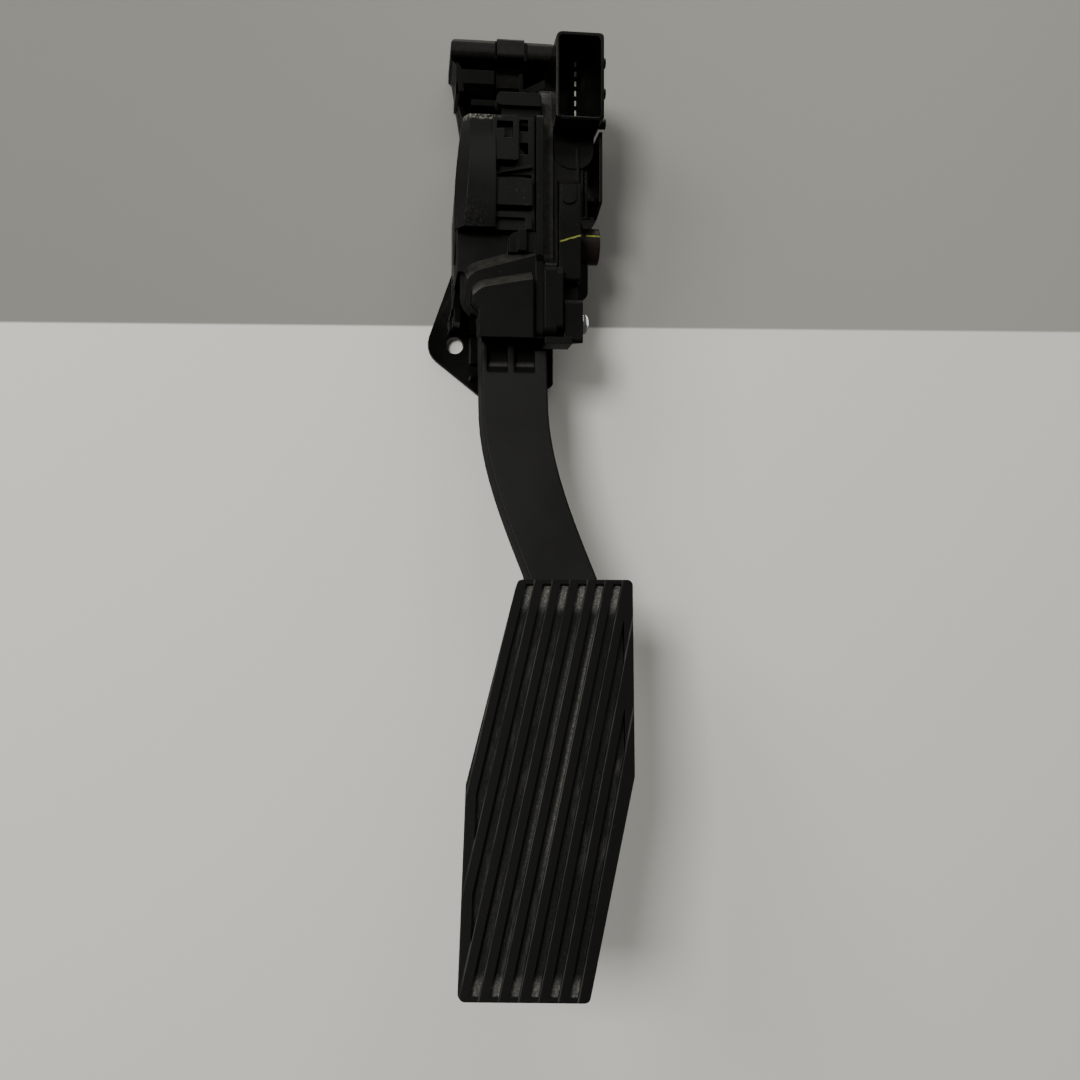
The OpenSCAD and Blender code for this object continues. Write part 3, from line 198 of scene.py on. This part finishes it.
def moulding(name, colour, roughness, gloss=0.12, grain=2600.0, grain_depth=0.2,
             edge=0.35 * MM, dusty=0.3, settled_dust_and_light=None, mark=None, sleek=None, rubbed=None):
    """Black glass-filled plastic: fine grain, soft clouds, worn edges and dust, with painted light and shade from
    callers.
    """
    finish = Finish(name, colour, roughness, Specular_IOR_Level=gloss)
    cloud = finish.noise(38.0, 4.0, 0.6).rising(0.3, 0.72)
    worn = edge_mask(finish, edge)
    pale = tuple(c * 1.5 + 0.001 for c in colour)
    polish = -0.06 if rubbed is None else 0.2
    # Edges are paler as wear unless a caller passes its own edge colour, as the arm does for painted shade
    rubbed = rubbed or tuple(c * 2.4 + 0.004 for c in colour)
    tone = finish.mixed(cloud * 0.7, colour, pale)
    tone = finish.mixed(worn * 0.6, tone, rubbed)
    film = specks(finish, dusty)
    # The caller's film adds dust and, for the case, cover and sensor, painted light
    if settled_dust_and_light:
        film = (film + settled_dust_and_light(finish)).clamped()
    tone = finish.mixed(film, tone, DUST_AND_PAINTED_LIGHT)
    if mark:
        painted = mark(finish)
        tone = finish.mixed(painted, tone, MARK_PAINT)
        film = (film + painted * 0.3).clamped()
    finish.set("Base Color", tone)
    rough = cloud * 0.1 + (roughness - 0.05) + film * 0.4 + worn * polish
    if sleek:
        rough = rough - sleek(finish) * 0.2
    finish.set("Roughness", rough.clamped())
    finish.surface(finish.noise(grain, 2.0, 0.6), grain_depth, 0.08 * MM, edge)
    return finish


def between(value, low, high, soft):
    """1 where a value lies between two lengths, fading over a soft margin."""
    return value.rising(low - soft, low + soft) * value.rising(high + soft, high - soft)


def metal(name, colour, roughness, edge=0.1 * MM):
    finish = Finish(name, colour, roughness, Metallic=1.0)
    tone = finish.noise(900.0, 3.0, 0.6)
    dark = tuple(c * 0.7 for c in colour)
    finish.set("Base Color", finish.mixed(tone.rising(0.35, 0.7), dark, colour))
    finish.set("Roughness", tone * 0.2 + (roughness - 0.08))
    finish.surface(finish.noise(4200.0, 2.0, 0.6), 0.15, 0.03 * MM, edge)
    return finish


def cover_dust_and_side_light(finish):
    """Dust along the top edge of the cover and low on its left side, and painted light on faces that look left.
    """
    grains = finish.noise(1100.0, 3.0, 0.7).rising(0.46, 0.62)
    x, y, z = (finish.axis(i) for i in range(3))
    top = between(z, 36.7 * MM, 39.6 * MM, 0.5 * MM) * x.rising(-3 * MM, -8 * MM)
    low = between(z, -6 * MM, 7 * MM, 5 * MM) * x.rising(-4 * MM, -15 * MM) * 0.07
    # Painted light: a pale film on the faces that look left, towards the lamps
    side = finish.facing(0).rising(-0.25, -0.6) * 0.035
    return (grains * (top + low) + side).times(y.rising(-40 * MM, -47 * MM))


def case_dust_and_toplight(finish):
    """A thin grey film on the ledges of the case that look up, dust with painted light from above, and a film
    along its top rail.
    """
    # Paler film on up-facing ledges: dust together with painted light from above
    up = finish.facing(2).rising(0.25, 0.8) * (finish.axis(2).rising(3 * MM, -2 * MM) * 0.7 + 0.3)
    patches = finish.noise(420.0, 4.0, 0.65).rising(0.25, 0.85)
    rail = finish.axis(2).rising(70 * MM, 72 * MM) * finish.axis(1).rising(-24 * MM, -25 * MM)
    return ((patches * 0.6 + 0.4) * (up * 0.26 + rail * 0.06)).clamped()


def back_plate(finish):
    """The smoother faces at the back of the case: its plate, ear and rail panel."""
    return finish.axis(1).rising(-25 * MM, -23.5 * MM)


def sensor_dust_and_light(finish):
    """A film on what looks up, and painted light on the front of the flange."""
    up = finish.facing(2).rising(0.5, 0.95)
    # Painted light: a pale film on the front of the flange
    flange = between(finish.axis(0), 10.9 * MM, 15.3 * MM, 0.2 * MM) * finish.facing(1).rising(-0.5, -0.9)
    flange = flange * finish.axis(2).rising(-13 * MM, -6 * MM)
    patches = finish.noise(420.0, 4.0, 0.65).rising(0.25, 0.85)
    return ((patches * 0.6 + 0.4) * (up * 0.09 + flange * 0.2)).clamped()


def socket_face(finish):
    """The smoother moulding of the connector."""
    return finish.axis(2).rising(33 * MM, 36 * MM) * finish.axis(1).rising(-30 * MM, -34 * MM)


def blades():
    """Terminal blades with painted light: a thin bright line painted on the lower ones, the rest painted dark as
    shade.
    """
    finish = Finish("terminal_brass", (0.3, 0.28, 0.24), 0.4, Metallic=1.0)
    x, y, z = (finish.axis(i) for i in range(3))
    # Painted highlight along a thin line on the lower blades; elsewhere the dark colour is painted shade
    painted_blade_light = z.rising(57 * MM, 51 * MM) * between(x, 22.75 * MM, 23.25 * MM, 0.15 * MM)
    tarnish = finish.noise(900.0, 3.0, 0.6) * 0.4 + 0.6
    finish.set("Base Color", finish.mixed(painted_blade_light * tarnish, (0.03, 0.028, 0.024), (0.4, 0.38, 0.33)))
    finish.set("Roughness", tarnish * 0.2 + 0.26)
    finish.surface(finish.noise(4200.0, 2.0, 0.6), 0.15, 0.03 * MM, 0.1 * MM)
    return finish


def arm_scuffs(finish):
    """Fine scuffs down the left wall and faint rubbing on the front of the arm."""
    x, y, z = (finish.axis(i) for i in range(3))
    fine = finish.noise(900.0, 3.0, 0.7, stretch=(1, 1, 0.25)).rising(0.6, 0.7)
    left = finish.facing(0).rising(-0.5, -0.8) * between(z, -112 * MM, -88 * MM, 5 * MM)
    rubbed = finish.noise(330.0, 5.0, 0.7).rising(0.58, 0.8) * 0.03
    bowls = between(z, -51 * MM, -46.5 * MM, 1.2 * MM) * y.rising(-49.6 * MM, -48.8 * MM)
    bowls = bowls * between(x, -8.8 * MM, 10.4 * MM, 0.4 * MM)
    gathered = bowls * y.rising(-41 * MM, -43 * MM) * (finish.noise(700.0, 3.0, 0.6) * 0.3 + 0.12)
    return (fine * left * 0.4 + rubbed + gathered).clamped()


def sensor_mark(finish):
    """A dab of yellow-green paint across the body of the sensor, up to the cap."""
    x, y, z = (finish.axis(i) for i in range(3))
    wave = (finish.noise(260.0, 2.0, 0.5) - 0.5) * (1.2 * MM)
    line = z - (x * 0.32 + MARK_RISE * MM) + wave
    thick = between(line, -0.24 * MM, 0.24 * MM, 0.12 * MM)
    broken = finish.noise(700.0, 3.0, 0.6).rising(0.3, 0.5)
    return (thick * between(x, 17.2 * MM, 26 * MM, 0.3 * MM) * y.rising(-40 * MM, -42 * MM)).times(broken)


def cap_mark(finish):
    x, y, z = (finish.axis(i) for i in range(3))
    thick = between(z, 2.1 * MM, 2.8 * MM, 0.15 * MM) * x.rising(28 * MM, 29 * MM)
    return (thick * y.rising(-33 * MM, -34 * MM)).times(finish.noise(700.0, 3.0, 0.6).rising(0.25, 0.45))


def tread():
    """The ribbed tread: dark ridges, grooves with grit, dusty ends to the grooves, and a painted highlight along
    each groove's right edge with painted shade on its left side.
    """
    colour = (0.0022, 0.0022, 0.0022)
    finish = Finish("tread_plastic", colour, 0.48, Specular_IOR_Level=0.11)
    turn = Matrix.Rotation(math.radians(90 - TREAD_TILT), 4, "X") @ Matrix.Rotation(
        math.radians(-TREAD_LEAN), 4, "Z")
    on_tread = finish.node("ShaderNodeMapping", {"vector_type": "TEXTURE"}, finish.place,
                           Location=TREAD_ORIGIN, Rotation=turn.to_euler("XYZ"))
    x, y, z = (finish.node("ShaderNodeSeparateXYZ", {}, on_tread, output=i) for i in range(3))
    sine, cosine = math.sin(math.radians(GROOVE_ANGLE)), math.cos(math.radians(GROOVE_ANGLE))
    across, along = x * cosine - y * sine, x * sine + y * cosine
    forward = finish.facing(1).rising(-0.5, -0.8)
    in_groove = z.rising(-1.7 * MM, -2.2 * MM) * z.rising(-6 * MM, -3 * MM) * forward
    streaky = finish.node("ShaderNodeCombineXYZ", {}, across, along * 0.12, z)
    streaks = finish.node("ShaderNodeTexNoise", {}, Vector=streaky, Scale=620.0, Detail=5.0,
                          Roughness=0.7).rising(0.45, 0.75)
    grit = finish.noise(1500.0, 4.0, 0.75).rising(0.42, 0.7)
    broad = finish.noise(26.0, 3.0, 0.5).rising(0.38, 0.68)
    ends = y.rising(-11 * MM, -5.5 * MM) + y.rising(-(TREAD_LENGTH - 8 * MM), -(TREAD_LENGTH - 4 * MM)) * 0.75
    beside = finish.node("ShaderNodeMath", {"operation": "MODULO"},
                         across + (GROOVE_PITCH * 3.5 - GROOVE_FIRST), GROOVE_PITCH) - GROOVE_PITCH / 2
    # Dust kept off the left side of each groove, which leaves painted shade there
    right_dust_left_shade = beside.rising(-1.1 * MM, 0.5 * MM) * 0.85 + 0.15
    rim = between(beside, 1.15 * MM, 1.6 * MM, 0.1 * MM) * z.rising(-1.5 * MM, -0.5 * MM)
    trodden = between(y, -92 * MM, -14 * MM, 10 * MM) * (between(across, 24.6 * MM, 29.2 * MM, 0.6 * MM)
                                                         + between(across, 18.9 * MM, 23.5 * MM, 0.6 * MM) * 0.45)
    walked = beside.rising(0.1 * MM, 1.1 * MM) * trodden * (grit * 0.5 + 0.2)
    inside = in_groove.times(right_dust_left_shade * (streaks * broad * 0.3 + grit * 0.06) + walked
                             + ends * (grit * 0.75 + 0.34))
    worn = edge_mask(finish, 0.3 * MM)
    tone = finish.mixed(worn * 0.5, colour, (0.016, 0.016, 0.015))
    tone = finish.mixed(in_groove * 0.7, tone, (0.0035, 0.0035, 0.0034))
    # Painted highlight: a pale line along the right edge of each groove, stronger where trodden
    painted_rim_highlight = rim * (finish.noise(90.0, 4.0, 0.6).rising(0.3, 0.7) * 0.2 + 0.06 + trodden * 0.14)
    film = (inside + painted_rim_highlight + specks(finish, 0.22)).clamped()
    finish.set("Base Color", finish.mixed(film, tone, GRIT_AND_PAINTED_HIGHLIGHT))
    finish.set("Roughness", (film * 0.4 + 0.48 - worn * 0.08).clamped())
    grain = finish.noise(1900.0, 3.0, 0.65) + in_groove * finish.noise(900.0, 3.0, 0.6) * 0.8
    finish.surface(grain, 0.28, 0.1 * MM, 0.3 * MM)
    return finish


def make_finishes():
    fine = 0.1 * MM
    made = {
        "case_plastic": moulding("case_plastic", (0.002, 0.002, 0.0017), 0.4, settled_dust_and_light=case_dust_and_toplight,
                                 sleek=back_plate),
        "cover_plastic": moulding("cover_plastic", (0.003, 0.0031, 0.0029), 0.38, 0.15, settled_dust_and_light=cover_dust_and_side_light),
        "sensor_plastic": moulding("sensor_plastic", (0.0025, 0.0025, 0.002), 0.36, 0.14, settled_dust_and_light=sensor_dust_and_light,
                                   mark=sensor_mark, sleek=socket_face),
        # The arm's near-black edge colour is painted shade: its rounded edges are kept dark as though reflecting
        # dark surroundings
        "arm_plastic": moulding("arm_plastic", (0.0062, 0.0062, 0.0056), 0.42, 0.15, grain=3400.0,
                                grain_depth=0.12, edge=1.1 * MM, dusty=0.12, settled_dust_and_light=arm_scuffs,
                                rubbed=(0.0005, 0.0005, 0.0005)),
        "tread_plastic": tread(),
        "cap_plastic": moulding("cap_plastic", (0.012, 0.0088, 0.0062), 0.42, mark=cap_mark),
        "bush_plastic": moulding("bush_plastic", (0.2, 0.185, 0.15), 0.45, 0.4, edge=0.15 * MM, dusty=0.0),
        "seal_rubber": moulding("seal_rubber", (0.004, 0.004, 0.004), 0.7, 0.2, edge=fine, dusty=0.0),
        "stop_rubber": moulding("stop_rubber", (0.008, 0.008, 0.008), 0.75, 0.2, dusty=0.0),
        "board_laminate": moulding("board_laminate", (0.02, 0.09, 0.035), 0.4, 0.5, edge=fine, dusty=0.0),
        "chip_resin": moulding("chip_resin", (0.01, 0.01, 0.011), 0.5, 0.4, edge=fine, dusty=0.0),
        "terminal_brass": blades(),
        "zinc_steel": metal("zinc_steel", (0.42, 0.43, 0.42), 0.34),
        "spring_steel": metal("spring_steel", (0.42, 0.42, 0.44), 0.3),
        "magnet_iron": metal("magnet_iron", (0.2, 0.2, 0.21), 0.45),
    }
    return {name: finish.material for name, finish in made.items()}


def paint_nodes(finishes):
    own = {"spring_cover": "cover_plastic"}
    for part in frame["record"]["subparts"]:
        node = nodes[part["node"]]
        node.data.materials.clear()
        node.data.materials.append(finishes[own.get(part["node"], part["material_slot"])])


def link_mesh(name, mesh):
    made = bpy.data.objects.new(name, mesh)
    scene.collection.objects.link(made)
    return made


def build_stage():
    """The pale surface that the pedal lies on, with painted shade above the fold behind the case, darker towards
    the left.
    """
    finish = Finish("pale_surface", (0.8, 0.79, 0.73), 0.6, Specular_IOR_Level=0.2)
    fold = finish.axis(2) - finish.axis(0) * FOLD_SLOPE
    # Painted shade: above the fold the surface is darker, and darker still towards the left
    shade = fold.rising((FOLD_HEIGHT - 0.6) * MM, (FOLD_HEIGHT + 0.6) * MM)
    sides = finish.axis(0).rising(-0.22, 0.22)
    upper = finish.mixed(sides, (0.28, 0.276, 0.264), (0.41, 0.404, 0.386))
    finish.set("Base Color", finish.mixed(shade, (0.94, 0.935, 0.9), upper))
    see_through = finish.node("ShaderNodeBsdfTransparent", {})
    behind = finish.node("ShaderNodeNewGeometry", {}, output="Backfacing")
    both = finish.node("ShaderNodeMixShader", {}, behind)
    mixer = both.socket.node
    finish.tree.links.new(finish.shader.outputs[0], mixer.inputs[1])
    finish.tree.links.new(see_through.socket, mixer.inputs[2])
    output = finish.tree.nodes["Material Output"]
    finish.tree.links.new(both.socket, output.inputs["Surface"])
    shape = bmesh.new()
    bmesh.ops.create_grid(shape, x_segments=1, y_segments=1, size=3.0)
    turn = Matrix.Rotation(math.radians(90), 4, "X")
    bmesh.ops.transform(shape, matrix=Matrix.Translation((0, 0.0006, 0)) @ turn, verts=shape.verts)
    mesh = bpy.data.meshes.new("pale_surface")
    shape.to_mesh(mesh)
    shape.free()
    mesh.materials.append(finish.material)
    surface = link_mesh("pale_surface", mesh)
    surface.visible_shadow = surface.visible_diffuse = surface.visible_glossy = False


def area_light(name, at, target, size, power, tint=(1.0, 0.995, 0.93)):
    data = bpy.data.lights.new(name, "AREA")
    data.shape, data.size, data.size_y = "RECTANGLE", size[0], size[1]
    data.energy, data.color = power, tint
    light = bpy.data.objects.new(name, data)
    light.location = at
    light.rotation_euler = (Vector(target) - Vector(at)).to_track_quat("-Z", "Y").to_euler()
    scene.collection.objects.link(light)


def light_studio():
    centre = (0, -0.05, -0.09)
    area_light("key", (-0.62, -1.6, 0.3), centre, (0.4, 0.4), 16)
    area_light("front_top", (0.15, -1.3, 0.95), centre, (1.0, 0.5), 3.8)
    area_light("left_top", (-1.0, -1.1, 0.65), centre, (0.6, 0.6), 5.5)
    area_light("over", (0.0, -0.05, 1.2), centre, (0.9, 0.5), 7)
    area_light("side_right", (1.6, 0.3, 0.4), centre, (0.8, 0.8), 4)
    area_light("back_left", (-0.8, 0.9, 1.5), centre, (0.9, 0.9), 6)
    area_light("back_right", (1.25, 1.1, 0.5), centre, (0.8, 0.8), 15)
    world = bpy.data.worlds.new("studio") if scene.world is None else scene.world
    scene.world = world
    world.use_nodes = True
    background = world.node_tree.nodes["Background"]
    background.inputs["Color"].default_value = (1.0, 0.985, 0.94, 1.0)
    background.inputs["Strength"].default_value = 0.125


aim_camera()
paint_nodes(make_finishes())
build_stage()
light_studio()
